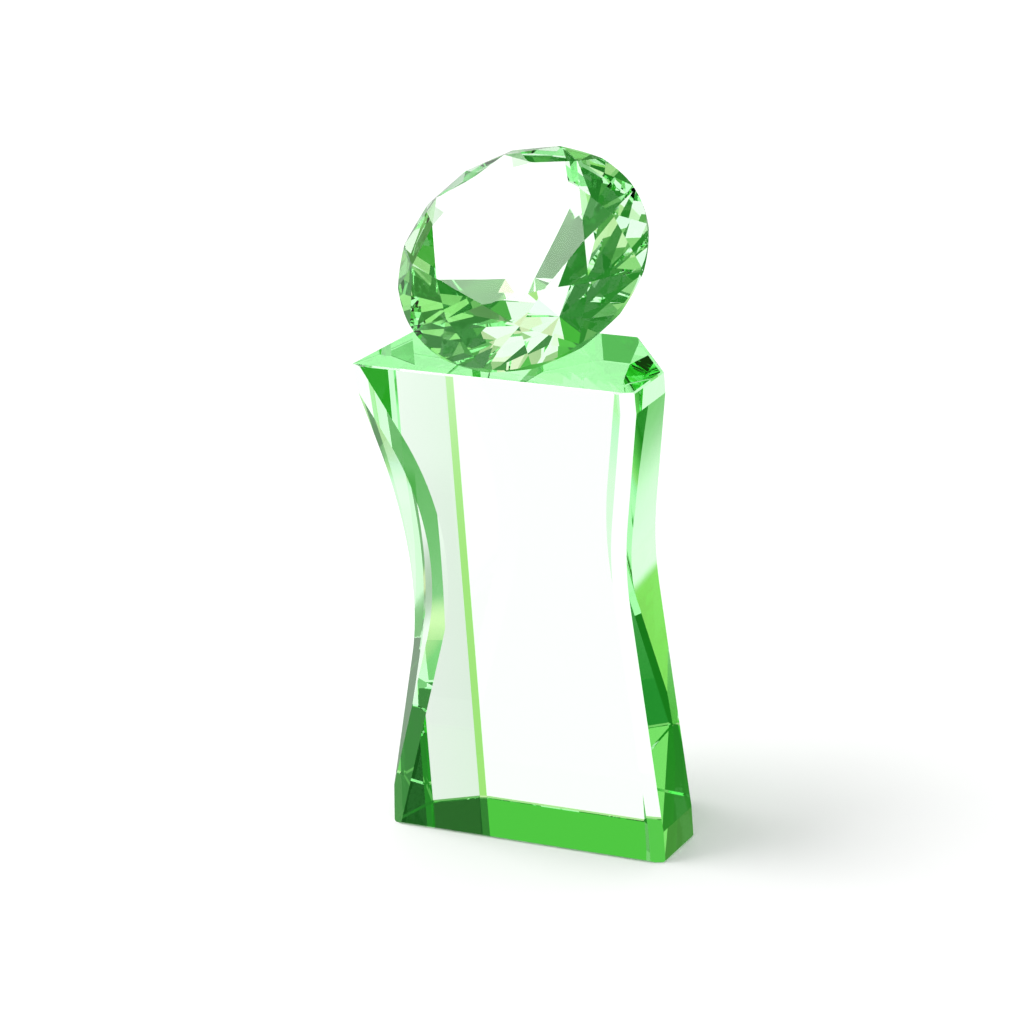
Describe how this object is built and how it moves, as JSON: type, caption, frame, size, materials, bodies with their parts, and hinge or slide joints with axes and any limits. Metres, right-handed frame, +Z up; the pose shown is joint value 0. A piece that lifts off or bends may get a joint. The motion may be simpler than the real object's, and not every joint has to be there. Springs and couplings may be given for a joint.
{
  "type": "crystal award",
  "caption": "Clear crystal award: a waisted, bevelled glass column with a brilliant-cut crystal leaning forward on its top face.",
  "frame": {"origin": "middle of the column's base, on the surface it stands on", "axes": "+Z up, the large front face and the crystal's table face -Y, +X to the right seen from the front"},
  "size_m": [0.0954, 0.0673, 0.209],
  "materials": {
    "column_glass": "polished optical crystal, green on long paths",
    "crystal_glass": "polished faceted optical crystal",
    "clear_glue": "cured clear adhesive"
  },
  "bodies": {
    "root": {"column": "column_glass", "crystal": "crystal_glass", "glue_film": "clear_glue"}
  },
  "joints": []
}
